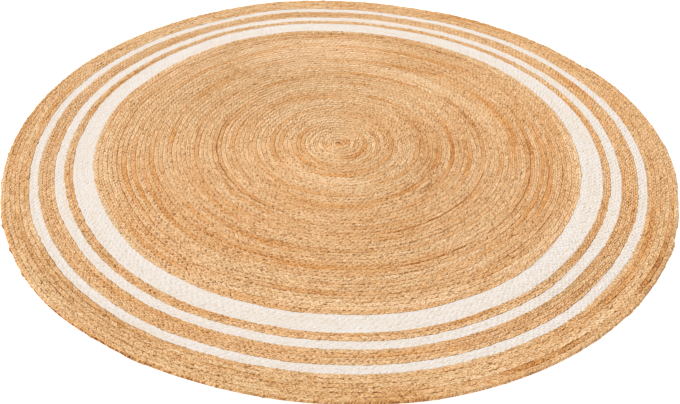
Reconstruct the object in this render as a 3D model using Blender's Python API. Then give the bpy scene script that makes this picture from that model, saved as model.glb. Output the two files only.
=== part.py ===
"""Round braided jute rug, 1.5 m across.

One flat braid is wound in a flat spiral and sewn edge to edge. Each colour is its own length
of braid, so each length is one solid: its turns stand up as ribs on the top, its underside is
flat, and it lies a hair away from the lengths that it is sewn between. Where two lengths are
spliced they share one turn on a long slant, where the old one narrows and the new one widens.
"""
import math
from collections import namedtuple

import bmesh
import bpy

# driving dimensions, in metres and degrees
RUG_RADIUS = 0.750
BRAID_THICKNESS = 0.009
GROOVE_HEIGHT = 0.006
RIM_HEIGHT = 0.0045
SEWN_GAP = 0.0003
EYE_RADIUS = 0.003
TAPERED_END_WIDTH = 0.004
SLANT_TIP_WIDTH = 0.0012
SPLICE_ANGLE = 328.0
STEPS_PER_TURN = 40
SLANT_STEPS = 2
CENTRE_TURNS = 54

# a length of braid: its full turns, the extra steps of its last turn, and the braid's width
Length = namedtuple("Length", "name turns extra_steps width yarn")
BANDS = (
    Length("wide_white_band", 4, 0, 0.01140, "bleached_white"),
    Length("thin_jute_band", 2, 0, 0.00800, "natural_jute"),
    Length("middle_white_band", 2, 0, 0.01160, "bleached_white"),
    Length("middle_jute_band", 4, 0, 0.00870, "natural_jute"),
    Length("thin_white_band", 2, 0, 0.01000, "bleached_white"),
    Length("rim_jute_band", 6, 7, 0.00985, "natural_jute"),
)

# how far the hand-sewn turns stray from a true circle, in millimetres outwards, at four circles:
# the wide white band's inner edge, the middle white band, the rim band's inner edge, the rim
STRAY_CIRCLES = (0.550, 0.620, 0.690, 0.750)
STRAY_ROWS = (
    # degrees anticlockwise from +X, then wide white, middle white, rim band, rim
    (0, 0, 3, 7, 4),
    (15, 2, 6, 9, 6),
    (30, 3, 4, 6, 9),
    (45, 2, 2, 6, 8),
    (60, 1, -1, 2, 4),
    (75, -1, -3, -5, -4),
    (90, 3, 2, 0, 0),
    (105, 10, 8, 8, 5),
    (120, 9, 9, 2, 1),
    (135, 5, 2, 1, -2),
    (150, 0, 1, -1, -3),
    (165, 2, 0, -3, -7),
    (180, 0, -3, -7, -9),
    (195, -1, -2, -6, -8),
    (210, -4, -1, -2, -3),
    (225, 0, 1, 0, 2),
    (240, -2, 0, -1, -4),
    (255, -6, -4, -6, -7),
    (270, -6, -4, -5, -5),
    (285, -3, -1, -3, -1),
    (300, -3, -4, -2, -1),
    (315, -2, -3, -3, -2),
    (330, 0, 1, 2, -2),
    (345, 0, 2, 2, -3),
)
MILLIMETRE = 0.001
SHARP_ANGLE = math.radians(50.0)

YARN_FINISHES = {
    # linear colour and roughness
    "natural_jute": ((0.72, 0.42, 0.19, 1.0), 0.85),
    "bleached_white": ((0.86, 0.78, 0.68, 1.0), 0.80),
}


def clear_scene():
    for thing in list(bpy.data.objects):
        bpy.data.objects.remove(thing, do_unlink=True)


def make_yarn(name):
    colour, roughness = YARN_FINISHES[name]
    yarn = bpy.data.materials.new(name)
    yarn.use_nodes = True
    shader = yarn.node_tree.nodes["Principled BSDF"]
    shader.inputs["Base Color"].default_value = colour
    shader.inputs["Roughness"].default_value = roughness
    shader.inputs["Metallic"].default_value = 0.0
    yarn.diffuse_color = colour
    return yarn


def braid_lengths():
    """All the lengths from the middle outwards: the centre coil fills what the bands leave."""
    bands_width = sum(band.width * (band.turns + band.extra_steps / STEPS_PER_TURN) for band in BANDS)
    rim_allowance = BANDS[-1].width / 2.0
    centre_width = (RUG_RADIUS - EYE_RADIUS - bands_width - rim_allowance) / CENTRE_TURNS
    centre = Length("centre_coil", CENTRE_TURNS, 0, centre_width, "natural_jute")
    return (centre,) + BANDS


def stray_at(angle, radius):
    """How far outwards a turn of this radius strays at this angle in radians."""
    degrees = math.degrees(angle) % 360.0
    row_spacing = 360.0 / len(STRAY_ROWS)
    this_row = STRAY_ROWS[int(degrees / row_spacing) % len(STRAY_ROWS)]
    next_row = STRAY_ROWS[(int(degrees / row_spacing) + 1) % len(STRAY_ROWS)]
    ease = (1.0 - math.cos(math.pi * (degrees - this_row[0]) / row_spacing)) / 2.0
    strays = [a + (b - a) * ease for a, b in zip(this_row[1:], next_row[1:])]
    inner_circle, inner_stray = 0.0, 0.0
    for circle, stray in zip(STRAY_CIRCLES, strays):
        if radius <= circle:
            share = (radius - inner_circle) / (circle - inner_circle)
            return (inner_stray + (stray - inner_stray) * share) * MILLIMETRE
        inner_circle, inner_stray = circle, stray
    return inner_stray * MILLIMETRE


def step_count(length):
    return length.turns * STEPS_PER_TURN + length.extra_steps


def edge_radii(lengths):
    """The spiral's radius at each step, from the eye to one turn past the braid's end."""
    radii = [EYE_RADIUS]
    for length in lengths:
        for _ in range(step_count(length)):
            radii.append(radii[-1] + length.width / STEPS_PER_TURN)
    for _ in range(STEPS_PER_TURN):
        radii.append(radii[-1] + lengths[-1].width / STEPS_PER_TURN)
    return radii


def slant_radius(inner, outer, steps_past):
    """The seam between an old and a new length, at some steps past the end of their slant."""
    old_share = -steps_past / SLANT_STEPS
    radius = inner + (outer - inner) * old_share
    return min(max(radius, inner + SLANT_TIP_WIDTH), outer - SLANT_TIP_WIDTH)


def braid_edges(radii, first, steps, is_first, is_last):
    """A length's step on the spiral, inner radius and outer radius, all the way along it."""
    half_gap = SEWN_GAP / 2.0
    start = 0 if is_first else -SLANT_STEPS
    edges = []
    for k in range(start, steps + 1):
        inner = radii[first + k]
        outer = radii[first + k + STEPS_PER_TURN]
        if is_last and k == steps:
            outer = inner + TAPERED_END_WIDTH
        elif not is_last and k >= steps - SLANT_STEPS:
            outer = slant_radius(inner, outer, k - steps) - half_gap
        elif k > steps - STEPS_PER_TURN:
            outer -= half_gap
        if not is_first and k <= 0:
            inner = slant_radius(inner, outer, k) + half_gap
        elif not is_first and k < start + STEPS_PER_TURN:
            inner += half_gap
        edges.append((first + k, inner, outer))
    return edges


def add_point(mesh, step, radius, height):
    angle = math.radians(SPLICE_ANGLE) + 2.0 * math.pi * step / STEPS_PER_TURN
    reach = radius + stray_at(angle, radius)
    return mesh.verts.new((math.cos(angle) * reach, math.sin(angle) * reach, height))


def coil_braid(mesh, edges, is_first, is_last):
    """Wind one length of braid, each turn sewn to the one inside it along their shared groove."""
    grooves = [add_point(mesh, step, inner, GROOVE_HEIGHT) for step, inner, _ in edges]
    outer_height = RIM_HEIGHT if is_last else GROOVE_HEIGHT
    last_turn = edges[-STEPS_PER_TURN:]
    grooves += [add_point(mesh, step, outer, outer_height) for step, _, outer in last_turn]
    crests = []
    for step, inner, outer in edges:
        is_end = step in (edges[0][0], edges[-1][0])
        height = GROOVE_HEIGHT if is_end else BRAID_THICKNESS
        crests.append(add_point(mesh, step, (inner + outer) / 2.0, height))
    for k in range(len(edges) - 1):
        outer = k + STEPS_PER_TURN
        mesh.faces.new((grooves[k], crests[k], crests[k + 1], grooves[k + 1]))
        mesh.faces.new((crests[k], grooves[outer], grooves[outer + 1], crests[k + 1]))
    if is_first:
        mesh.faces.new(grooves[STEPS_PER_TURN::-1] + [crests[0]])


def add_flat_underside(mesh):
    """Drop the edges of the ribbed top to the floor and close the flat underside."""
    rims = [edge for edge in mesh.edges if edge.is_boundary]
    walls = bmesh.ops.extrude_edge_only(mesh, edges=rims)
    floor_points = {item for item in walls["geom"] if isinstance(item, bmesh.types.BMVert)}
    for point in floor_points:
        point.co.z = 0.0
    floor_edges = [
        item for item in walls["geom"]
        if isinstance(item, bmesh.types.BMEdge) and floor_points.issuperset(item.verts)
    ]
    bmesh.ops.triangle_fill(mesh, edges=floor_edges, use_beauty=True, normal=(0.0, 0.0, -1.0))
    bmesh.ops.recalc_face_normals(mesh, faces=mesh.faces)


def make_braid_length(length, edges, is_first, is_last):
    mesh = bmesh.new()
    coil_braid(mesh, edges, is_first, is_last)
    add_flat_underside(mesh)
    data = bpy.data.meshes.new(length.name)
    mesh.to_mesh(data)
    mesh.free()
    data.shade_smooth()
    data.set_sharp_from_angle(angle=SHARP_ANGLE)
    return bpy.data.objects.new(length.name, data)


def build_rug():
    clear_scene()
    rug = bpy.data.collections.new("round_jute_rug")
    bpy.context.scene.collection.children.link(rug)
    yarns = {name: make_yarn(name) for name in YARN_FINISHES}
    lengths = braid_lengths()
    radii = edge_radii(lengths)
    first = 0
    for length in lengths:
        is_first, is_last = length is lengths[0], length is lengths[-1]
        edges = braid_edges(radii, first, step_count(length), is_first, is_last)
        piece = make_braid_length(length, edges, is_first, is_last)
        piece.data.materials.append(yarns[length.yarn])
        rug.objects.link(piece)
        first += step_count(length)


build_rug()
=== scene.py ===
import math

import bpy
import numpy as np
from mathutils import Matrix, Vector


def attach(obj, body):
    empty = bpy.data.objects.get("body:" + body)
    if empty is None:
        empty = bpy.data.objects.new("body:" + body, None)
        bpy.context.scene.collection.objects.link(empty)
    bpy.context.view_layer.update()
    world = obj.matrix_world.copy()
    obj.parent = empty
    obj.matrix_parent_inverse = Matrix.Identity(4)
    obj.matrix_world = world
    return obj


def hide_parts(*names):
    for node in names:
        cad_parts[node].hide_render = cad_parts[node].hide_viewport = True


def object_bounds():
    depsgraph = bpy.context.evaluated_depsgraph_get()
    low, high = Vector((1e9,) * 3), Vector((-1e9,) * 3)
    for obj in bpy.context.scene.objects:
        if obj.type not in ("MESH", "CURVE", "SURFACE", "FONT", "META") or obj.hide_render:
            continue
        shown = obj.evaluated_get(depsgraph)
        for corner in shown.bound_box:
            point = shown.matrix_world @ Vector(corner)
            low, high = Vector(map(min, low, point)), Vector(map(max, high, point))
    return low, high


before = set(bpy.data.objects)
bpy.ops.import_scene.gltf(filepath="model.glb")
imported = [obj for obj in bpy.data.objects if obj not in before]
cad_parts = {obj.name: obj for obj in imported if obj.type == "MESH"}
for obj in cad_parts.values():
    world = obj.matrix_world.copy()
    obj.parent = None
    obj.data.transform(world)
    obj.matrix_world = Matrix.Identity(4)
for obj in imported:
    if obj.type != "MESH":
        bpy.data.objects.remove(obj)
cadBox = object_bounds()
dice = np.random.default_rng(74)
print("frame loaded:", len(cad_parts), "lengths of braid")

# how the rug is wound: metres, turns counted from the eye, angles anticlockwise from +X
coil = {
    "rugRadius": 0.750,
    "eyeRadius": 0.003,
    "leastRadius": 0.006,               # of the braid's middle line, next to the eye
    "roundTurns": 2.0,                  # the first turns hardly waver
    "calmEyeTurns": 14.0,               # the middle lies flatter, and its shades change quickly
    "spliceAngle": math.radians(328.0),
    "slantTurns": 0.05,                 # a splice: the old braid narrows here and the new one widens
    "slantTip": 0.0012,
    "endTaperTurns": 0.025,             # the rug's own end, narrowed and sewn down at the rim
    "endTaperPower": 0.7,
    "endWidth": 0.004,
    "tuckTurns": 0.8,                   # and its start, folded in under the first turn
    "tuckRiseTurns": 1.2,
    "tuckHeight": 0.72,
    "narrowHeight": 0.96,               # a braid that is drawn in is a little lower
    "edgeWaver": 0.0005,                # how far the seam between two turns wavers
    "calmWaver": 0.15,                  # what is left of the lobes' push between two bleached turns
    # at the seams: how far single lobes push them to and fro, half of the gap to the next length of
    # braid, and by how many turns that length's drawn-in end is cleared
    "topFit": {"lobeWaver": 0.0009, "halfGap": 0.00017, "notch": 0.0015},
    "underFit": {"lobeWaver": 0.0, "halfGap": 0.0004, "notch": 0.007},
    "easeTurns": 0.02,                  # how soon a change sets in along the braid
    "rimEaseTurns": 0.01,
}
yarnRelief = {"natural_jute": 1.0, "bleached_white": 0.38}     # bleached yarn is softer and lies flatter

# the middle of the rug, one length of braid that is shown in three pieces, so that none is too heavy
centreCoil = {
    "pieces": ("centreCoilEye", "centreCoilMiddle", "centreCoilOuter"),
    "node": "centre_coil",
    "turns": 54.0,
    "cuts": (31.0, 44.0),
    "stitch": 0.0115,
    "slot": "natural_jute",
}

# the lengths of braid that are sewn on after it, from the inside out
bands = [
    {"piece": "wideWhiteBand", "node": "wide_white_band", "turns": 4.0, "width": 0.01140,
     "stitch": 0.0127, "slot": "bleached_white"},
    {"piece": "thinJuteBand", "node": "thin_jute_band", "turns": 2.0, "width": 0.00800,
     "stitch": 0.0112, "slot": "natural_jute"},
    {"piece": "middleWhiteBand", "node": "middle_white_band", "turns": 2.0, "width": 0.01160,
     "stitch": 0.0127, "slot": "bleached_white"},
    {"piece": "middleJuteBand", "node": "middle_jute_band", "turns": 4.0, "width": 0.00870,
     "stitch": 0.0108, "slot": "natural_jute"},
    {"piece": "thinWhiteBand", "node": "thin_white_band", "turns": 2.0, "width": 0.01000,
     "stitch": 0.0122, "slot": "bleached_white"},
    {"piece": "rimJuteBand", "node": "rim_jute_band", "turns": 6.175, "width": 0.00985,
     "stitch": 0.0121, "slot": "natural_jute"},
]

# how far the hand-sewn turns stray outwards, in millimetres, at the eye (not at all) and four circles
millimetre = 0.001
strayCircles = (0.0, 0.550, 0.620, 0.690, 0.750)
strayRows = [
    # degrees, wide white, middle white, rim band, rim
    (0, 0, 3, 7, 4),
    (15, 2, 6, 9, 6),
    (30, 3, 4, 6, 9),
    (45, 2, 2, 6, 8),
    (60, 1, -1, 2, 4),
    (75, -1, -3, -5, -4),
    (90, 3, 2, 0, 0),
    (105, 10, 8, 8, 5),
    (120, 9, 9, 2, 1),
    (135, 5, 2, 1, -2),
    (150, 0, 1, -1, -3),
    (165, 2, 0, -3, -7),
    (180, 0, -3, -7, -9),
    (195, -1, -2, -6, -8),
    (210, -4, -1, -2, -3),
    (225, 0, 1, 0, 2),
    (240, -2, 0, -1, -4),
    (255, -6, -4, -6, -7),
    (270, -6, -4, -5, -5),
    (285, -3, -1, -3, -1),
    (300, -3, -4, -2, -1),
    (315, -2, -3, -3, -2),
    (330, 0, 1, 2, -2),
    (345, 0, 2, 2, -3),
]

# what wavers by chance along the braid: a new value every so many metres, and a seed
wavers = {
    "edge": (0.09, 5),
    "edgeLobes": (0.012, 6),
    "rowPlace": (0.010, 11),
    "strandTone": (0.30, 20),           # the second and third strands take the next seeds
    "strandWarmth": (0.40, 24),
    "sideTone": (0.13, 27),             # and so does the braid's second side
    "sideWarmth": (0.16, 29),
    "sideWarmthShort": (0.034, 35),
    "braidTone": (0.25, 32),
    "braidWarmth": (0.40, 33),
    "braidWarmthShort": (0.12, 34),
    "strokes": (0.026, 37),
    "rimRagged": (0.016, 41),
    "rimSway": (0.050, 42),
    "gapeDepth": (0.011, 43),
    "gapeShade": (0.028, 44),
    "seamShade": (0.11, 51),
    "seamShadeShort": (0.030, 52),
}
waverValues = 60013
waverStart = 50.0


def cosineEase(share):
    return (1.0 - np.cos(np.pi * share)) / 2.0


def waver(along, name, nextSeed=0):
    # smooth chance values from -1 to 1
    spacing, seed = wavers[name]
    values = np.random.default_rng(seed + nextSeed).uniform(-1.0, 1.0, waverValues)
    place = np.asarray(along) / spacing + waverStart
    start = np.floor(place).astype(int)
    a, b = values[start % len(values)], values[(start + 1) % len(values)]
    return a + (b - a) * cosineEase(place - start)


def strayAt(angle, radius):
    rows = np.array(strayRows, float)
    place = np.degrees(angle) % 360.0 / 360.0 * len(rows)
    thisRow = np.floor(place).astype(int) % len(rows)
    nextRow = (thisRow + 1) % len(rows)
    ease = cosineEase(place - np.floor(place))
    circles = [np.zeros_like(radius)]
    for column in range(1, rows.shape[1]):
        values = rows[:, column]
        circles.append(values[thisRow] + (values[nextRow] - values[thisRow]) * ease)
    stray = circles[-1]
    for c in range(len(strayCircles) - 1):
        low, high = strayCircles[c], strayCircles[c + 1]
        between = circles[c] + (circles[c + 1] - circles[c]) * (radius - low) / (high - low)
        stray = np.where((radius >= low) & (radius < high), between, stray)
    return stray * millimetre


# the spiral: where each length of braid starts, in turns and in radius
bandsWidth = sum(band["turns"] * band["width"] for band in bands)
rimWidth = bands[-1]["width"]
centreReach = coil["rugRadius"] - coil["eyeRadius"] - bandsWidth - rimWidth / 2
centreWidth = centreReach / centreCoil["turns"]
spiralTurns = [-1.0, 0.0, centreCoil["turns"]]
spiralRadii = [coil["eyeRadius"] + centreWidth * turn for turn in spiralTurns]
for band in bands:
    spiralTurns.append(spiralTurns[-1] + band["turns"])
    spiralRadii.append(spiralRadii[-1] + band["turns"] * band["width"])
endTurn = spiralTurns[-1]
spareTurns = 2.0                        # past the braid's end, for the outer edge of its last turn
spiralTurns.append(endTurn + spareTurns)
spiralRadii.append(spiralRadii[-1] + spareTurns * rimWidth)

# how many metres of braid are wound at each turn, from the tucked start
tableRows = 40000
tableMargin = 0.1
turnTable = np.linspace(-coil["tuckTurns"] - tableMargin, endTurn + tableMargin, tableRows)
middleRadii = np.interp(turnTable + 0.5, spiralTurns, spiralRadii)
tableStep = turnTable[1] - turnTable[0]
alongTable = np.cumsum(2 * np.pi * np.maximum(middleRadii, coil["leastRadius"]) * tableStep)


def turnDegrees(turn):
    return math.degrees(coil["spliceAngle"]) + 360.0 * turn


def rimShare(turn):
    # 1 on the rug's last turn
    return np.clip((turn - (endTurn - 1.0)) / coil["rimEaseTurns"], 0, 1)


def seamLiveliness(turn):
    # 1, or less between two turns of bleached yarn
    share = np.ones_like(turn)
    for k, band in enumerate(bands):
        if band["slot"] == "bleached_white":
            first, last = spiralTurns[k + 2], spiralTurns[k + 3]
            between = np.clip(np.minimum(turn - first - 1.0, last - turn) / coil["easeTurns"], 0, 1)
            share = share - (1.0 - coil["calmWaver"]) * between
    return share


def edgeRadius(turn, lobeWaver):
    radius = np.interp(turn, spiralTurns, spiralRadii)
    angle = coil["spliceAngle"] + 2 * np.pi * turn
    along = np.interp(turn, turnTable, alongTable)
    aside = waver(along, "edge") * coil["edgeWaver"]
    aside += waver(along, "edgeLobes") * lobeWaver * seamLiveliness(turn)
    return radius + strayAt(angle, radius) + aside * np.clip(turn / coil["roundTurns"], 0, 1)


def turnEdges(turn, length, under=False):
    # the inner and outer radius of a braid, drawn in where it is spliced or ends
    fit = coil["underFit"] if under else coil["topFit"]
    inner, outer = edgeRadius(turn, fit["lobeWaver"]), edgeRadius(turn + 1.0, fit["lobeWaver"])
    firstEdge, width = inner, outer - inner
    narrow, wide = coil["slantTip"], width - coil["slantTip"]
    first, last, slant = length["first"], length["last"], coil["slantTurns"]
    if length["start"] == "spliced":
        seam = firstEdge + np.clip((first - turn) / slant * width, narrow, wide)
        inner = np.where(turn < first + fit["notch"], seam, inner)
        inner = inner + fit["halfGap"] * (turn < first + 1.0 - slant)
    elif first > 0:
        inner = inner + fit["halfGap"] * (turn < first + 1.0)
    if length["end"] == "spliced":
        seam = firstEdge + np.clip((last - turn) / slant * width, narrow, wide)
        outer = np.where(turn > last - slant - fit["notch"], seam, outer)
    if length["end"] == "sewn down":
        share = np.clip((last - turn) / coil["endTaperTurns"], 0, 1) ** coil["endTaperPower"]
        outer = inner + coil["endWidth"] + (width - coil["endWidth"]) * share
    else:
        outer = outer - fit["halfGap"] * (turn > last - 1.0)
    return inner, outer, (outer - inner) / width


def braidPoints(along, across, height, length, under=False):
    # points at metres along the braid, from -1 to 1 across it
    turn = np.interp(along, alongTable, turnTable)
    inner, outer, share = turnEdges(turn, length, under)
    tuck = np.clip((turn + coil["tuckTurns"]) / coil["tuckRiseTurns"], 0.0, 1.0)
    drawnIn = coil["narrowHeight"] + (1.0 - coil["narrowHeight"]) * np.sqrt(np.clip(share, 0, 1))
    height = height * drawnIn * (coil["tuckHeight"] + (1.0 - coil["tuckHeight"]) * tuck)
    radius = (inner + outer) / 2 + across * (outer - inner) / 2
    angle = coil["spliceAngle"] + 2 * np.pi * turn
    return np.stack([radius * np.cos(angle), radius * np.sin(angle), height], -1)


# arcs where the fibre runs lighter or darker, and straw or orange
shadeArcs = [
    # radius, from, to, half width, tone, warmth: metres, degrees and shares of the whole range
    (0.020, 325, 55, 0.006, -0.30, 0.50),
    (0.031, 150, 215, 0.006, -0.06, 0.34),
    (0.105, 80, 140, 0.030, 0.06, -0.10),
    (0.112, 350, 40, 0.008, -0.14, 0.04),
    (0.068, 195, 220, 0.009, 0.00, -0.16),
    (0.148, 205, 300, 0.020, 0.12, -0.18),
    (0.152, 300, 10, 0.014, 0.02, -0.18),
    (0.165, 85, 165, 0.020, 0.06, -0.14),
    (0.190, 345, 50, 0.013, -0.13, 0.10),
    (0.207, 325, 40, 0.020, -0.04, 0.16),
    (0.220, 318, 5, 0.016, -0.11, 0.04),
    (0.193, 180, 290, 0.007, 0.00, 0.16),
    (0.254, 60, 145, 0.010, 0.00, -0.12),
    (0.281, 145, 250, 0.009, -0.12, 0.04),
    (0.270, 135, 225, 0.011, 0.02, 0.20),
    (0.300, 40, 130, 0.012, -0.06, -0.02),
    (0.332, 170, 290, 0.006, 0.00, 0.12),
    (0.350, 35, 125, 0.022, 0.10, -0.08),
    (0.362, 350, 75, 0.010, 0.00, -0.14),
    (0.375, 215, 330, 0.010, -0.07, 0.00),
    (0.434, 253, 30, 0.008, 0.00, 0.14),
    (0.440, 68, 130, 0.045, 0.20, -0.04),
    (0.465, 262, 318, 0.009, 0.02, -0.16),
    (0.490, 100, 172, 0.020, 0.02, -0.14),
    (0.519, 252, 305, 0.010, 0.04, -0.16),
    (0.538, 120, 200, 0.012, 0.10, -0.06),
    (0.535, 225, 20, 0.012, 0.10, -0.08),
    (0.611, 205, 232, 0.010, -0.10, 0.00),
    (0.604, 315, 352, 0.010, -0.08, 0.06),
    (0.612, 110, 128, 0.010, -0.10, 0.00),
    (0.650, 205, 275, 0.014, 0.00, 0.18),
    (0.650, 325, 45, 0.012, 0.00, 0.14),
    (0.655, 105, 172, 0.016, 0.08, 0.00),
    (0.640, 296, 345, 0.010, -0.08, 0.02),
    (0.695, 40, 95, 0.012, -0.02, 0.12),
    (0.700, 205, 250, 0.016, -0.12, 0.02),
    (0.702, 300, 5, 0.010, -0.06, 0.03),
    (0.738, 284, 340, 0.005, -0.16, 0.09),
    (0.736, 290, 308, 0.005, -0.12, 0.04),
    (0.742, 312, 350, 0.009, -0.13, -0.02),
    (0.727, 275, 335, 0.006, 0.06, -0.12),
    (0.704, 296, 345, 0.005, -0.14, 0.10),
    (0.742, 150, 196, 0.010, -0.16, 0.00),
    (0.722, 255, 325, 0.014, 0.03, 0.12),
    (0.735, 20, 75, 0.012, -0.08, -0.06),
    (0.603, 248, 296, 0.008, 0.05, -0.16),
    (0.652, 250, 300, 0.016, 0.05, -0.02),
    (0.510, 20, 75, 0.014, -0.05, 0.04),
    (0.720, 195, 290, 0.030, -0.10, -0.07),
    (0.420, 290, 45, 0.100, 0.035, 0.00),
    (0.505, 125, 205, 0.035, 0.04, 0.02),
    (0.470, 285, 345, 0.045, 0.02, 0.08),
    (0.533, 62, 118, 0.004, -0.20, 0.04),
    (0.512, 84, 150, 0.004, -0.18, 0.03),
    (0.521, 40, 75, 0.004, -0.18, 0.04),
    (0.497, 120, 165, 0.004, -0.16, 0.02),
    (0.397, 357, 60, 0.011, 0.04, -0.30),
    (0.438, 350, 16, 0.005, -0.26, 0.10),
    (0.448, 7, 31, 0.005, -0.28, 0.05),
    (0.330, 349, 50, 0.005, -0.20, 0.06),
    (0.250, 310, 340, 0.006, -0.28, 0.20),
    (0.259, 336, 20, 0.005, -0.14, 0.08),
    (0.288, 340, 16, 0.005, -0.12, 0.06),
    (0.667, 6, 46, 0.009, 0.03, -0.18),
    (0.724, 335, 75, 0.024, -0.05, 0.03),
    (0.480, 5, 75, 0.060, -0.035, 0.02),
    (0.490, 76, 165, 0.060, 0.070, -0.01),
    (0.500, 246, 292, 0.050, -0.025, 0.01),
    (0.720, 252, 294, 0.030, -0.035, 0.00),
]
arcFade = 14.0                          # degrees over which an arc comes and goes
narrowArc = 0.010                       # a dark arc with less half width is a row of short strokes
strokeSwing = 0.7
chanceArcs = {
    "count": 320,
    "degrees": (14.0, 70.0),
    "halfWidth": (0.004, 0.013),
    "tone": 0.010,
    "warmth": 0.07,
}

# seams that gape a little: they drop, and a thin line of painted shade runs between two turns
openSeams = [
    # radius, from, to, how open
    (0.067, 252, 324, 0.9),
    (0.165, 100, 130, 0.8),
    (0.252, 312, 336, 0.8),
    (0.281, 140, 255, 0.9),
    (0.262, 150, 215, 0.4),
    (0.300, 55, 125, 0.4),
    (0.334, 280, 350, 0.9),
    (0.372, 215, 330, 0.4),
    (0.419, 190, 265, 0.6),
    (0.434, 280, 22, 1.0),
    (0.484, 160, 265, 0.6),
    (0.499, 150, 295, 0.8),
    (0.477, 315, 42, 0.6),
    (0.502, 298, 52, 0.9),
    (0.519, 35, 115, 0.7),
    (0.655, 290, 345, 0.2),
    (0.700, 205, 250, 0.3),
    (0.712, 300, 10, 0.3),
    (0.505, 62, 165, 0.7),
    (0.470, 50, 150, 0.6),
    (0.530, 95, 160, 0.5),
    (0.440, 80, 170, 0.6),
    (0.405, 60, 135, 0.5),
]
seamReach = 0.0055                      # metres to either side of an arc in which a seam follows it
# stretches of seam painted in shade: a second, shorter waver's part, and where they start and fill
seamShading = {"short": 0.5, "start": 0.30, "full": 1.10}


def addChanceArcs():
    # the rest of the fibre's unevenness, spread over the whole rug
    for _ in range(chanceArcs["count"]):
        radius = coil["rugRadius"] * math.sqrt(dice.uniform(0, 1))
        start = dice.uniform(0, 360)
        end = start + dice.uniform(*chanceArcs["degrees"])
        halfWidth = dice.uniform(*chanceArcs["halfWidth"])
        tone, warmth = dice.normal(0, chanceArcs["tone"]), dice.normal(0, chanceArcs["warmth"])
        shadeArcs.append((radius, start, end, halfWidth, tone, warmth))


def arcShare(angle, start, end):
    # 1 inside an arc, easing to 0 at both of its ends
    past = (angle - start) % 360.0
    left = (end - start) % 360.0 - past
    return cosineEase(np.clip(np.minimum(past, left) / arcFade, 0, 1))


def arcShade(turn):
    angle = turnDegrees(turn)
    radius = np.interp(turn + 0.5, spiralTurns, spiralRadii)
    strokes = 1.0 + strokeSwing * waver(np.interp(turn, turnTable, alongTable), "strokes")
    tone, warmth = np.zeros(len(turn)), np.zeros(len(turn))
    for place, start, end, halfWidth, arcTone, arcWarmth in shadeArcs:
        share = arcShare(angle, start, end) * np.exp(-((radius - place) / halfWidth) ** 2)
        if halfWidth < narrowArc and arcTone < 0:
            share = share * strokes
        tone += arcTone * share
        warmth += arcWarmth * share
    return tone, warmth


def seamOpening(turn):
    # how far the seam on the spiral's line at this turn gapes
    angle = turnDegrees(turn)
    radius = np.interp(turn, spiralTurns, spiralRadii)
    opening = np.zeros(len(turn))
    for place, start, end, howOpen in openSeams:
        near = np.exp(-((radius - place) / seamReach) ** 2)
        opening = np.maximum(opening, howOpen * near * arcShare(angle, start, end))
    return opening


def seamShade(turn):
    # painted shade along a seam, 0 to 1, the same for the turns on both sides of the seam
    along = np.interp(turn, turnTable, alongTable)
    shade = waver(along, "seamShade") + waver(along, "seamShadeShort") * seamShading["short"]
    return np.clip((shade - seamShading["start"]) / (seamShading["full"] - seamShading["start"]), 0, 1)


def borderShare(turn, length, across):
    # 1 along an edge that is sewn to another length of braid
    past = np.zeros_like(turn)
    if across < 0 and length["start"] == "spliced":
        past = length["first"] + 1.0 - turn
    if across > 0 and length["end"] == "spliced":
        past = turn - (length["last"] - 1.0)
    return np.clip(past / coil["easeTurns"], 0, 1)


# the three-strand plait, seen across one turn from its inner edge to its outer, in metres
plait = {
    "across": (-1.0, -0.70, -0.36, 0.0, 0.36, 0.70, 1.0),
    "lobeHigh": (0.0079, 0.0088, 0.0090, 0.0084, 0.0090, 0.0088, 0.0079),
    "lobeLow": (0.0053, 0.0063, 0.0066, 0.0062, 0.0066, 0.0063, 0.0053),
    # up and down along a lobe: how high, and how far along it, on the side that starts with a valley
    # and on the other side, where the valley comes half a lobe later
    "lobeRise": (0.0, 0.86, 1.0, 0.84),
    "sideRows": ((0.0, 0.15, 0.50, 0.85), (0.0, 0.35, 0.50, 0.65)),
    "slant": 0.0056,                    # how far a lobe leans along the braid
    "midlineZigzag": 0.22,
    "lobeUneven": 0.00042,
    "rowJitter": 0.0008,
    "evenEndRows": 12.0,                # over which the jitter fades out at both ends of a length
    "valleyOpen": (0.50, 1.70),         # creases from nearly closed to wide open
    # how much of the lobes' full relief shows
    "eyeRelief": 0.75,                  # the middle of the rug lies flatter
    "borderRelief": 0.12,               # two yarns meet at nearly one height
    "calmSeamRelief": 0.32,             # and so do two turns of bleached yarn
    "calmSeamRise": 0.7,                # as if they were at this height of a lobe all the way
    "rimRelief": 0.68,                  # the rim's seams show less than its lobes do
    "rimSeamRelief": 0.42,
    # the edges of a turn, and the rug's own edge
    "scallop": 0.03,
    "rimScallop": 0.20,
    "rimEdgeHeight": 0.0046,
    "rimShoulderHeight": 0.0082,
    "rimRagged": 0.0018,
    "rimSway": 0.0013,
    "rimHalfWidth": 0.005,
    # a gaping seam: how deep it drops, how much more painted shade its crease gets, and the middle of its
    # waver
    "gapeDrop": 0.0011,
    "gapeCrease": 0.35,
    "gapeMiddle": 0.6,
    # the underside of a turn, rounded up at its edges
    "underAcross": (-0.90, -0.60, 0.60, 0.90),
    "underHeight": (0.0022, 0.0, 0.0, 0.0022),
}
rowsPerLobe = len(plait["lobeRise"])
spareLobes = 2                          # the last rows are already on the next lobe
columns = len(plait["across"])

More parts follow.
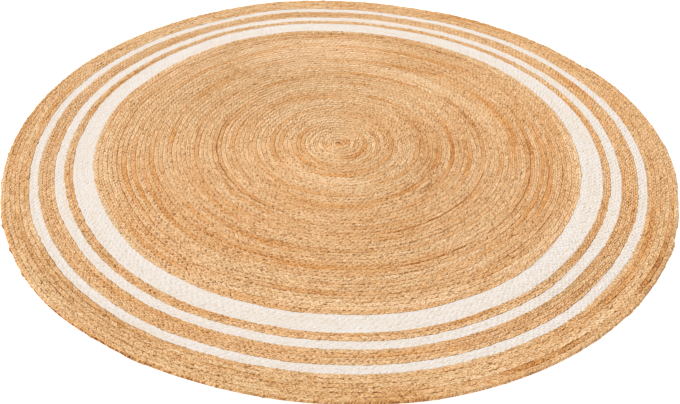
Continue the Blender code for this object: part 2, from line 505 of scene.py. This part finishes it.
# how the fibre's tone, from dark to light, and its warmth, from straw to orange, are made up
shading = {
    "tone": 0.532,
    "braidTone": 0.012,
    "sideTone": 0.015,
    "strandTone": 0.015,
    "lobeTone": 0.058,
    "arcAtSeam": 1.1,                   # dark arcs are darkest along the sewn seam
    "arcInside": 0.5,
    "warmth": 0.41,
    "darkArcWarmth": 0.8,
    "braidWarmth": 0.36,
    "sideWarmth": 0.09,
    "sideWarmthShort": 1.3,
    "strandWarmth": 0.02,
    "lobeWarmth": 0.02,
    "longPart": 0.5,                    # slow changes of warmth and quick ones, which add up to the sum
    "longPartAtEye": 0.15,              # but hardly any slow ones near the eye
    "partsSum": 1.05,
    "warmthSkew": 1.4,                  # many pale turns, fewer dark orange ones
    "skewMiddle": 1.12,
    "seamTone": 0.10,                   # painted shade: how much darker and more orange the top is painted along a shaded seam
    "seamWarmth": 0.22,
    "gapeTone": 0.15,                   # and along a gaping one
    "gapeWarmth": 0.50,
    "gapeMiddle": 0.65,
    "seamInside": 0.15,                 # the share of both that is left away from the seam
    "under": 0.5,                       # walls and underside, and next those of the rim, painted in deep shade
    "rimUnderShade": 0.06,
    # how high in a crease the walls and underside stand, so they take part of the crease's painted shade
    "underRidge": 0.6,
}
# painted shade: the outer side of the rug's last turn is darker all round, and more so along two arcs, in
# degrees
rimShade = {"tone": 0.11, "arcs": ((145, 252, 0.20), (345, 85, 0.18))}


def plaitSides(lobes, start, end):
    # the rows of points across a plait, for each of its two sides: where they are along the braid, how
    # high up their lobe, which lobe that is, how it stands out and how wide its crease is
    row = np.arange(lobes * rowsPerLobe + 1)
    lobe, phase = row // rowsPerLobe, row % rowsPerLobe
    halfLobe = rowsPerLobe // 2
    lobeOf = lobe, (row + halfLobe) // rowsPerLobe
    valleyOf = (row + 1) // rowsPerLobe, (row + 1 + halfLobe) // rowsPerLobe
    rise = np.array(plait["lobeRise"])
    rises = rise[phase], rise[(phase + halfLobe) % rowsPerLobe]
    pitch = (end - start) / lobes
    alongs = [start + (lobe + np.array(side)[phase]) * pitch for side in plait["sideRows"]]
    fade = np.clip(np.minimum(row, row[-1] - row) / plait["evenEndRows"], 0, 1)
    alongs = [a + fade * plait["rowJitter"] * waver(a, "rowPlace") for a in alongs]
    bumps = [dice.normal(0, plait["lobeUneven"], lobes + spareLobes)[lobeOf[s]] * rises[s] for s in (0, 1)]
    least, most = plait["valleyOpen"]
    chance = [dice.uniform(0, 1, lobes + spareLobes) for _ in (0, 1)]
    opened = [(least + (most - least) * chance[s] ** 2)[valleyOf[s]] for s in (0, 1)]
    return [
        {"along": alongs[s], "lobe": lobeOf[s], "rise": rises[s], "bump": bumps[s], "opened": opened[s]}
        for s in (0, 1)
    ]


def middleOf(sides):
    # between the two sides, where each lobe dips under the other side's
    return {
        "along": (sides[0]["along"] + sides[1]["along"]) / 2,
        "rise": abs(sides[0]["rise"] - sides[1]["rise"]),
        "bump": 0.0,
        "opened": (sides[0]["opened"] + sides[1]["opened"]) / 2,
    }


def reliefAt(length, across, turn):
    # how much of the lobes' full relief shows in this column of points
    relief = length["relief"]
    if length["end"] == "sewn down":
        relief = relief * plait["rimSeamRelief" if abs(across) == 1.0 else "rimRelief"]
    if abs(across) < 1.0:
        outwards = np.clip(turn / coil["calmEyeTurns"], 0, 1)
        return relief * (plait["eyeRelief"] + (1.0 - plait["eyeRelief"]) * outwards)
    if length["calm"]:
        return plait["calmSeamRelief"]
    return relief + (plait["borderRelief"] - relief) * borderShare(turn, length, across)


def lobeSurface(length, sides):
    # top points of a plait, row by row, with how far each one stands out of the creases
    middle = middleOf(sides)
    turn = np.interp(middle["along"], alongTable, turnTable)
    onRim = rimShare(turn)
    widthShare = np.clip(turnEdges(turn, length)[2], 0, 1)
    crown = max(plait["lobeHigh"])
    deepest = crown - min(plait["lobeLow"])
    zigzag = (sides[0]["rise"] - sides[1]["rise"]) * plait["midlineZigzag"]
    points = np.zeros((len(turn), columns, 3))
    ridge = np.zeros((len(turn), columns))
    for c, across in enumerate(plait["across"]):
        low, high = plait["lobeLow"][c], plait["lobeHigh"][c]
        side = middle if across == 0 else sides[across > 0]
        along, rise, bump, opened = side["along"], side["rise"], side["bump"], side["opened"]
        relief = reliefAt(length, across, turn)
        atSeam = abs(across) == 1.0
        if atSeam and length["calm"]:
            rise, bump, opened = plait["calmSeamRise"], 0.0, 1.0
        fall = (crown - high + (high - low) * (1.0 - rise) * opened) * relief
        ridge[:, c] = 1.0 - fall / deepest
        sideways = across + zigzag * (1.0 - abs(across))
        if atSeam:
            gape = seamOpening(turn + (across > 0)) * relief
            gape = gape * np.clip(plait["gapeMiddle"] + waver(along, "gapeDepth"), 0, 1)
            fall = fall + gape * plait["gapeDrop"]
            # a gaping seam's crease also gets more painted shade
            ridge[:, c] -= gape * plait["gapeCrease"]
            scallop = plait["scallop"] * length["relief"]
            scallop = scallop + (plait["rimScallop"] - scallop) * onRim * (across > 0)
            sideways = across * (1.0 + scallop * (rise - 1.0))
        height = crown - fall + bump * length["relief"]
        if c == columns - 1:
            height = height + (plait["rimEdgeHeight"] - height) * onRim
            ragged = plait["rimRagged"] * waver(along, "rimRagged")
            ragged = ragged + plait["rimSway"] * waver(along, "rimSway")
            sideways = sideways + onRim * ragged / plait["rimHalfWidth"]
        if c == columns - 2:
            height = height + (plait["rimShoulderHeight"] - high) * onRim
        lean = plait["slant"] * (1.0 - abs(across)) * widthShare
        points[:, c] = braidPoints(along + lean, sideways, height, length)
    return points, ridge


def undersidePoints(length, along):
    return np.stack([
        braidPoints(along, np.full(len(along), across), np.full(len(along), height), length, True)
        for across, height in zip(plait["underAcross"], plait["underHeight"])
    ], axis=1)


def quads(ids):
    return np.stack([ids[:-1, :-1], ids[:-1, 1:], ids[1:, 1:], ids[1:, :-1]], -1).reshape(-1, 4)


def plaitFaces(topId, underId, step):
    # the top, the underside, two walls and two end caps. The underside has one row where the top has step
    walls = []
    for column in (0, -1):
        fine, rough = topId[:, column], underId[:, column]
        wall = []
        for k in range(step):
            below = rough[:-1] if k < step // 2 else rough[1:]
            wall.append(np.stack([fine[k:-1:step], fine[k + 1::step], below], -1))
        wall.append(np.stack([rough[:-1], fine[step // 2:-1:step], rough[1:]], -1))
        walls += wall if column == 0 else [triangles[:, ::-1] for triangles in wall]
    startCap = list(underId[0]) + list(topId[0, ::-1])
    endCap = list(underId[-1, ::-1]) + list(topId[-1])
    faces = quads(topId).tolist() + quads(underId)[:, ::-1].tolist()
    return faces + np.concatenate(walls).tolist() + [startCap, endCap]


def sharpenSeams(mesh, topCount):
    # a flat seam, with no rounded edge to shade it
    ends = np.zeros(len(mesh.edges) * 2, np.int32)
    mesh.edges.foreach_get("vertices", ends)
    ends = ends.reshape(-1, 2)
    onTop = (ends < topCount).all(axis=1)
    column = ends % columns
    alongSeam = (column[:, 0] == column[:, 1]) & np.isin(column[:, 0], (0, columns - 1))
    mesh.edges.foreach_set("use_edge_sharp", onTop & alongSeam)


def addYarnPlace(mesh, across, along):
    # the yarn's own coordinates: metres across the turn, and along the braid
    corner = np.zeros(len(mesh.loops), np.int32)
    mesh.loops.foreach_get("vertex_index", corner)
    place = np.stack([across[corner] * centreWidth / 2, along[corner]], -1)
    mesh.uv_layers.new(name="braid").data.foreach_set("uv", place.astype(np.float32).ravel())


def addShare(mesh, name, domain, values):
    made = mesh.attributes.new(name, "FLOAT", domain)
    made.data.foreach_set("value", values.astype(np.float32))


def braidWarmthAt(along, turn):
    outwards = np.clip(turn / coil["calmEyeTurns"], shading["longPartAtEye"], 1.0)
    longPart = outwards * shading["longPart"]
    warmth = waver(along, "braidWarmth") * longPart
    warmth = warmth + waver(along, "braidWarmthShort") * (shading["partsSum"] - longPart)
    return (np.exp(shading["warmthSkew"] * warmth) - shading["skewMiddle"]) / shading["warmthSkew"]


def rimSideShade(turn):
    shade = rimShade["tone"]
    for start, end, more in rimShade["arcs"]:
        shade = shade + more * arcShare(turnDegrees(turn), start, end)
    return shade * rimShare(turn)


def lobeShades(along, sides, lobes):
    # tone and warmth of each face of the top. Each of the three strands keeps its own shade as it comes
    # up in lobe after lobe
    turn = np.interp(along, alongTable, turnTable)
    arcTone, arcWarmth = arcShade(turn)
    braidTone, braidWarmth = waver(along, "braidTone"), braidWarmthAt(along, turn)
    strandTone = [waver(along, "strandTone", s) for s in range(3)]
    strandWarmth = [waver(along, "strandWarmth", s) for s in range(3)]
    lobeTone = dice.normal(0, 1, (2, lobes + spareLobes))
    lobeWarmth = dice.normal(0, 1, (2, lobes + spareLobes))
    gapeWaver = np.clip(shading["gapeMiddle"] + waver(along, "gapeShade"), 0, 1)
    tones, warmths = [], []
    for c in range(columns - 1):
        s = 0 if c < columns // 2 else 1
        atSeam = c in (0, columns - 2)
        lobe = sides[s]["lobe"][:-1]
        strand = (2 * lobe + 2 * s) % 3
        seamPart = 1.0 if atSeam else shading["seamInside"]
        shaded = seamShade(turn + s) * seamPart
        gaping = seamOpening(turn + s) * gapeWaver * seamPart
        arcPart = shading["arcAtSeam" if atSeam else "arcInside"]
        tone = shading["tone"] + arcTone * np.where(arcTone < 0, arcPart, 1.0)
        tone = tone + shading["braidTone"] * braidTone + shading["sideTone"] * waver(along, "sideTone", s)
        tone = tone + shading["strandTone"] * np.choose(strand, strandTone)
        tone = tone + shading["lobeTone"] * lobeTone[s][lobe]
        # painted shade: darker along shaded and gaping seams, and on the outer side of the rim
        tone = tone - shading["seamTone"] * shaded - shading["gapeTone"] * gaping
        if c == columns - 2:
            tone = tone - rimSideShade(turn)
        sideWarmth = waver(along, "sideWarmth", s)
        sideWarmth = sideWarmth + shading["sideWarmthShort"] * waver(along, "sideWarmthShort", s)
        warmth = shading["warmth"] + arcWarmth - shading["darkArcWarmth"] * np.minimum(arcTone, 0)
        warmth = warmth + shading["braidWarmth"] * braidWarmth + shading["sideWarmth"] * sideWarmth
        warmth = warmth + shading["strandWarmth"] * np.choose(strand, strandWarmth)
        warmth = warmth + shading["lobeWarmth"] * lobeWarmth[s][lobe]
        # painted shade: more orange along shaded and gaping seams
        warmth = warmth + shading["seamWarmth"] * shaded + shading["gapeWarmth"] * gaping
        tones.append(tone)
        warmths.append(warmth)
    return np.stack(tones, -1).ravel(), np.stack(warmths, -1).ravel()


def plaitedBraid(length):
    # one length of plaited braid as a closed mesh: a lobed top, two walls and an underside
    firstTurn = length["first"] - (coil["slantTurns"] if length["start"] == "spliced" else 0.0)
    start, end = np.interp([firstTurn, length["last"]], turnTable, alongTable)
    onRim = length["end"] == "sewn down"
    lobesPerStep = 1 if onRim else 2                # the rim's underside is finer
    lobes = int(round((end - start) / length["stitch"] / lobesPerStep)) * lobesPerStep
    sides = plaitSides(lobes, start, end)
    top, ridge = lobeSurface(length, sides)
    rowAlong = middleOf(sides)["along"]
    step = rowsPerLobe * lobesPerStep
    coarse = rowAlong[::step]
    under = undersidePoints(length, coarse)

    points = np.concatenate([top.reshape(-1, 3), under.reshape(-1, 3)])
    topId = np.arange(ridge.size).reshape(ridge.shape)
    underId = ridge.size + np.arange(under.size // 3).reshape(under.shape[:2])
    faces = plaitFaces(topId, underId, step)
    mesh = bpy.data.meshes.new(length["piece"])
    mesh.from_pydata(points.tolist(), [], faces)
    mesh.polygons.foreach_set("use_smooth", np.ones(len(faces), bool))
    if length["calm"]:
        sharpenSeams(mesh, ridge.size)

    acrossAll = np.tile(plait["across"], len(rowAlong)), np.tile(plait["underAcross"], len(coarse))
    alongAll = np.repeat(rowAlong, columns), np.repeat(coarse, under.shape[1])
    addYarnPlace(mesh, np.concatenate(acrossAll), np.concatenate(alongAll))
    tones, warmths = lobeShades(rowAlong[:-1], sides, lobes)
    # walls and underside: a middle tone, or on the rim painted in deep shade
    rest = np.full(len(faces) - len(tones), shading["rimUnderShade" if onRim else "under"])
    addShare(mesh, "lobeTone", "FACE", np.concatenate([tones, rest]))
    addShare(mesh, "lobeWarmth", "FACE", np.concatenate([warmths, rest]))
    underRidge = np.full(under.size // 3, shading["underRidge"])
    addShare(mesh, "ridge", "POINT", np.concatenate([ridge.ravel(), underRidge]))

    piece = bpy.data.objects.new(length["piece"], mesh)
    bpy.context.scene.collection.objects.link(piece)
    triangles = sum(len(face) - 2 for face in faces)
    print(length["piece"], triangles, "triangles,", round(float(end - start), 2), "m of braid")
    return piece


# the two yarns: linear colours, and shares; crease is the tint of painted shade in the creases between lobes
juteLook = {
    "straw": (0.86, 0.575, 0.30, 1),
    "orange": (0.735, 0.340, 0.098, 1),
    "crease": (0.46, 0.175, 0.045, 1),
    "darkest": -0.32,                   # what darker and lighter fibre multiplies the colour by
    "lightest": 1.547,
    "redFade": 0.60,                    # darker fibre loses less red, and more blue
    "blueFade": 1.75,
    "speck": (0.24, 0.085, 0.016, 1),
    "speckShare": 0.028,
    "clumpSwing": 2.05,
    "roughness": 0.78,
    "fibreBump": 0.5,
}
whiteLook = {
    "straw": (0.86, 0.78, 0.71, 1),
    "orange": (0.84, 0.735, 0.62, 1),
    "crease": (0.86, 0.81, 0.74, 1),
    "darkest": 0.66,
    "lightest": 1.13,
    "redFade": 0.6,
    "blueFade": 1.6,
    "speck": (0.60, 0.50, 0.40, 1),
    "speckShare": 0.012,
    "clumpSwing": 1.8,
    "roughness": 0.75,
    "fibreBump": 0.25,
}
white = (1, 1, 1, 1)
# what both share
fibreLook = {
    "fibreScale": (130, 1900, 1),       # how fine: for each metre across the turn, and along the braid
    "fibreDetail": 3.0,
    "fibreRoughness": 0.6,
    "clumpScale": (300, 600, 1),
    "clumpDetail": 1.5,
    "speckScale": (190, 85, 1),
    "fibreWarmth": 0.06,                # the spread that single fibres add to warmth and tone
    "fibreTone": 0.5,
    "toneCurve": 0.5,
    "leastFactor": 0.15,
    "creaseTop": 0.80,                  # above this height nothing of the crease's painted shade is left
    "speckSize": 0.35,
    "speckRagged": 0.35,
    "speckEdge": (-0.17, -0.10),
    "bumpDepth": 0.0006,
    "specular": 0.15,
    "sheen": 0.06,
    "sheenRoughness": 0.6,
}


def yarnMaterial(name, look):
    material = bpy.data.materials.new(name)
    material.use_nodes = True
    tree = material.node_tree
    shader = tree.nodes["Principled BSDF"]

    def node(kind, x, y, inputs, **settings):
        made = tree.nodes.new(kind)
        made.location = (x, y)
        for key, value in settings.items():
            setattr(made, key, value)
        for key, value in inputs.items():
            if isinstance(value, bpy.types.NodeSocket):
                tree.links.new(value, made.inputs[key])
            else:
                made.inputs[key].default_value = value
        return made

    def meshShare(name, x, y):
        return node("ShaderNodeAttribute", x, y, {}, attribute_name=name).outputs["Fac"]

    def scaled(vector, scale, x, y):
        return node("ShaderNodeMapping", x, y, {"Vector": vector, "Scale": scale}).outputs["Vector"]

    def maths(operation, values, x, y, clamp=False):
        inputs = dict(enumerate(values))
        return node("ShaderNodeMath", x, y, inputs, operation=operation, use_clamp=clamp).outputs[0]

    def mixed(share, first, second, x, y, blend="MIX"):
        inputs = {"Fac": share, "Color1": first, "Color2": second}
        return node("ShaderNodeMixRGB", x, y, inputs, blend_type=blend).outputs["Color"]

    def spread(value, swing, x, y):
        # noise from 0 to 1, made to swing evenly about 0
        return maths("MULTIPLY_ADD", (value, swing, -swing / 2), x, y)

    uv = node("ShaderNodeUVMap", -1800, 0, {}, uv_map="braid").outputs["UV"]
    tone = meshShare("lobeTone", -1400, 700)
    warmth = meshShare("lobeWarmth", -1400, 500)
    ridge = meshShare("ridge", -1400, 300)
    fibre = node("ShaderNodeTexNoise", -1400, 0, {
        "Vector": scaled(uv, fibreLook["fibreScale"], -1600, 0), "Scale": 1.0,
        "Detail": fibreLook["fibreDetail"], "Roughness": fibreLook["fibreRoughness"]}).outputs["Fac"]
    clump = node("ShaderNodeTexNoise", -1400, -300, {
        "Vector": scaled(uv, fibreLook["clumpScale"], -1600, -300), "Scale": 1.0,
        "Detail": fibreLook["clumpDetail"]}).outputs["Fac"]

    # straw to orange
    warmSpread = spread(fibre, fibreLook["fibreWarmth"], -1200, 450)
    warmTotal = maths("ADD", (warmth, warmSpread), -1000, 500, clamp=True)
    plain = mixed(warmTotal, look["straw"], look["orange"], -800, 500)

    # lighter and darker fibres, singly and in clumps
    fibreTone = spread(fibre, fibreLook["fibreTone"], -1200, 100)
    clumpTone = spread(clump, look["clumpSwing"], -1200, -100)
    fineTone = maths("ADD", (fibreTone, clumpTone), -1000, 0)
    toneTotal = maths("ADD", (tone, fineTone), -1000, 200, clamp=True)
    toneCurve = maths("POWER", (toneTotal, fibreLook["toneCurve"]), -950, 200)
    ranged = node("ShaderNodeMapRange", -900, 200, {
        "Value": toneCurve, "To Min": look["darkest"], "To Max": look["lightest"]}).outputs["Result"]
    factor = maths("MAXIMUM", (ranged, fibreLook["leastFactor"]), -850, 200)
    red = maths("POWER", (factor, look["redFade"]), -800, 260)
    blue = maths("POWER", (factor, look["blueFade"]), -800, 60)
    brightness = node("ShaderNodeCombineColor", -700, 160, {"Red": red, "Green": factor, "Blue": blue})
    shaded = mixed(1.0, plain, brightness.outputs["Color"], -600, 400, "MULTIPLY")

    # painted shade: the creases between lobes are painted darker than their crests, the deeper the darker
    standing = node("ShaderNodeMapRange", -1000, 320, {
        "Value": ridge, "From Min": 0.0, "From Max": fibreLook["creaseTop"]}, interpolation_type="SMOOTHSTEP")
    paintedCreaseShade = mixed(standing.outputs["Result"], look["crease"], white, -600, 150)
    creaseShaded = mixed(1.0, shaded, paintedCreaseShade, -400, 300, "MULTIPLY")

    # dark bits of bark: one here and there, each in its own cell of the braid
    speckCell = node("ShaderNodeTexVoronoi", -1400, -600, {
        "Vector": scaled(uv, fibreLook["speckScale"], -1600, -600), "Scale": 1.0}, voronoi_dimensions="2D")
    cellChance = node("ShaderNodeSeparateColor", -1200, -700, {"Color": speckCell.outputs["Color"]})
    speckSize = node("ShaderNodeMapRange", -1000, -700, {
        "Value": cellChance.outputs["Red"], "From Min": 1.0 - look["speckShare"], "From Max": 1.0,
        "To Min": 0.0, "To Max": fibreLook["speckSize"]}).outputs["Result"]
    fromCentre = speckCell.outputs["Distance"]
    ragged = maths("MULTIPLY_ADD", (clump, fibreLook["speckRagged"], fromCentre), -1000, -500)
    inSpeck = maths("SUBTRACT", (speckSize, ragged), -800, -600)
    outerEdge, innerEdge = fibreLook["speckEdge"]
    speckMask = node("ShaderNodeMapRange", -600, -600, {
        "Value": inSpeck, "From Min": outerEdge, "From Max": innerEdge}).outputs["Result"]
    spotted = mixed(speckMask, creaseShaded, look["speck"], -200, 250)
    tree.links.new(spotted, shader.inputs["Base Color"])

    bump = node("ShaderNodeBump", -200, -200, {
        "Strength": look["fibreBump"], "Distance": fibreLook["bumpDepth"], "Height": fibre})
    tree.links.new(bump.outputs["Normal"], shader.inputs["Normal"])
    shader.inputs["Roughness"].default_value = look["roughness"]
    shader.inputs["Specular IOR Level"].default_value = fibreLook["specular"]
    shader.inputs["Sheen Weight"].default_value = fibreLook["sheen"]
    shader.inputs["Sheen Roughness"].default_value = fibreLook["sheenRoughness"]
    return material


finishes = {
    "natural_jute": yarnMaterial("naturalJute", juteLook),
    "bleached_white": yarnMaterial("bleachedYarn", whiteLook),
}
print("finishes made:", ", ".join(finishes))


def lengthOf(piece, first, last, source, start, end):
    return {
        "piece": piece, "first": first, "last": last, "stitch": source["stitch"], "start": start, "end": end,
        "relief": yarnRelief[source["slot"]], "calm": source["slot"] == "bleached_white",
    }


def layPiece(length, node, slot):
    piece = plaitedBraid(length)
    piece.data.materials.append(finishes[slot])
    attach(piece, "root")
    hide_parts(node)


addChanceArcs()
print("shaded arcs:", len(shadeArcs), "and gaping seams:", len(openSeams))

centreEnds = (-coil["tuckTurns"],) + centreCoil["cuts"] + (centreCoil["turns"],)
for k, piece in enumerate(centreCoil["pieces"]):
    end = "spliced" if piece == centreCoil["pieces"][-1] else "cut"
    length = lengthOf(piece, centreEnds[k], centreEnds[k + 1], centreCoil, "cut", end)
    layPiece(length, centreCoil["node"], centreCoil["slot"])

turn = centreCoil["turns"]
for band in bands:
    end = "sewn down" if band is bands[-1] else "spliced"
    length = lengthOf(band["piece"], turn, turn + band["turns"], band, "spliced", end)
    layPiece(length, band["node"], band["slot"])
    turn += band["turns"]
print("all", len(centreCoil["pieces"]) + len(bands), "pieces are laid")

studio = {
    "floorSize": 14.0,
    "floorDrop": 0.0002,
    "floorColour": (0.90, 0.90, 0.90, 1),
    "floorRoughness": 0.9,
    "floorSpecular": 0.1,
    "floorGlow": 0.80,
    "worldStrength": 0.53,
    "lampAzimuth": math.radians(158.0),     # from the left and a little behind
    "lampElevation": math.radians(38.0),
    "lampStrength": 2.5,
    "lampSoftness": math.radians(24.0),
    "backPower": 6.0,                       # a weak lamp behind the rug: its far side is a little lighter
    "backPlace": (0.0, 1.9, 1.5),
    "backSize": 1.2,
}


def makeFloor():
    mesh = bpy.data.meshes.new("floor")
    half = studio["floorSize"] / 2
    corners = [(-half, -half, 0), (half, -half, 0), (half, half, 0), (-half, half, 0)]
    mesh.from_pydata(corners, [], [(0, 1, 2, 3)])
    floor = bpy.data.objects.new("floor", mesh)
    floor.location.z = cadBox[0].z - studio["floorDrop"]
    bpy.context.scene.collection.objects.link(floor)
    paint = bpy.data.materials.new("paleFloor")
    paint.use_nodes = True
    shader = paint.node_tree.nodes["Principled BSDF"]
    shader.inputs["Base Color"].default_value = studio["floorColour"]
    shader.inputs["Roughness"].default_value = studio["floorRoughness"]
    shader.inputs["Specular IOR Level"].default_value = studio["floorSpecular"]
    shader.inputs["Emission Color"].default_value = white
    shader.inputs["Emission Strength"].default_value = studio["floorGlow"]
    mesh.materials.append(paint)


def addLamp(name, kind, power, towards):
    # a lamp that shines on the rug from that side
    data = bpy.data.lights.new(name, kind)
    data.energy = power
    lamp = bpy.data.objects.new(name, data)
    lamp.rotation_euler = (-towards).to_track_quat("-Z", "Y").to_euler()
    bpy.context.scene.collection.objects.link(lamp)
    return lamp


def makeLight():
    world = bpy.data.worlds.new("softWhite")
    world.use_nodes = True
    sky = world.node_tree.nodes["Background"]
    sky.inputs["Color"].default_value = white
    sky.inputs["Strength"].default_value = studio["worldStrength"]
    bpy.context.scene.world = world
    azimuth, elevation = studio["lampAzimuth"], studio["lampElevation"]
    flat = math.cos(elevation)
    towards = Vector((flat * math.cos(azimuth), flat * math.sin(azimuth), math.sin(elevation)))
    keyLight = addLamp("keyLight", "SUN", studio["lampStrength"], towards)
    keyLight.data.angle = studio["lampSoftness"]
    backLight = addLamp("backLight", "AREA", studio["backPower"], Vector(studio["backPlace"]))
    backLight.data.size = studio["backSize"]
    backLight.location = studio["backPlace"]


# the photograph's view: the camera looks at the coil's eye, then turns a little off it
photoView = {
    "lens": 46.77,
    "sensorWidth": 36.0,
    "target": (0.0, 0.0, 0.009),
    "distance": 2.0343,
    "elevation": math.radians(34.38),
    "pan": math.radians(-0.14),
    "tilt": math.radians(-3.81),
    "roll": math.radians(-1.79),
}


def makeCamera():
    back = Vector((0, -math.cos(photoView["elevation"]), math.sin(photoView["elevation"])))
    ahead = -back
    right = ahead.cross(Vector((0, 0, 1))).normalized()
    up = right.cross(ahead)
    pan = Matrix.Rotation(photoView["pan"], 3, up)
    ahead, right = pan @ ahead, pan @ right
    tilt = Matrix.Rotation(photoView["tilt"], 3, right)
    ahead, up = tilt @ ahead, tilt @ up
    roll = Matrix.Rotation(photoView["roll"], 3, ahead)
    right, up = roll @ right, roll @ up
    camera = bpy.data.objects.new("camera", bpy.data.cameras.new("camera"))
    camera.data.lens = photoView["lens"]
    camera.data.sensor_width = photoView["sensorWidth"]
    turned = Matrix((right, up, -ahead)).transposed().to_4x4()
    place = Vector(photoView["target"]) + back * photoView["distance"]
    camera.matrix_world = Matrix.Translation(place) @ turned
    bpy.context.scene.collection.objects.link(camera)
    bpy.context.scene.camera = camera


makeFloor()
makeLight()
makeCamera()
bpy.context.scene.view_settings.view_transform = "Standard"
print("floor, light and camera are set up")
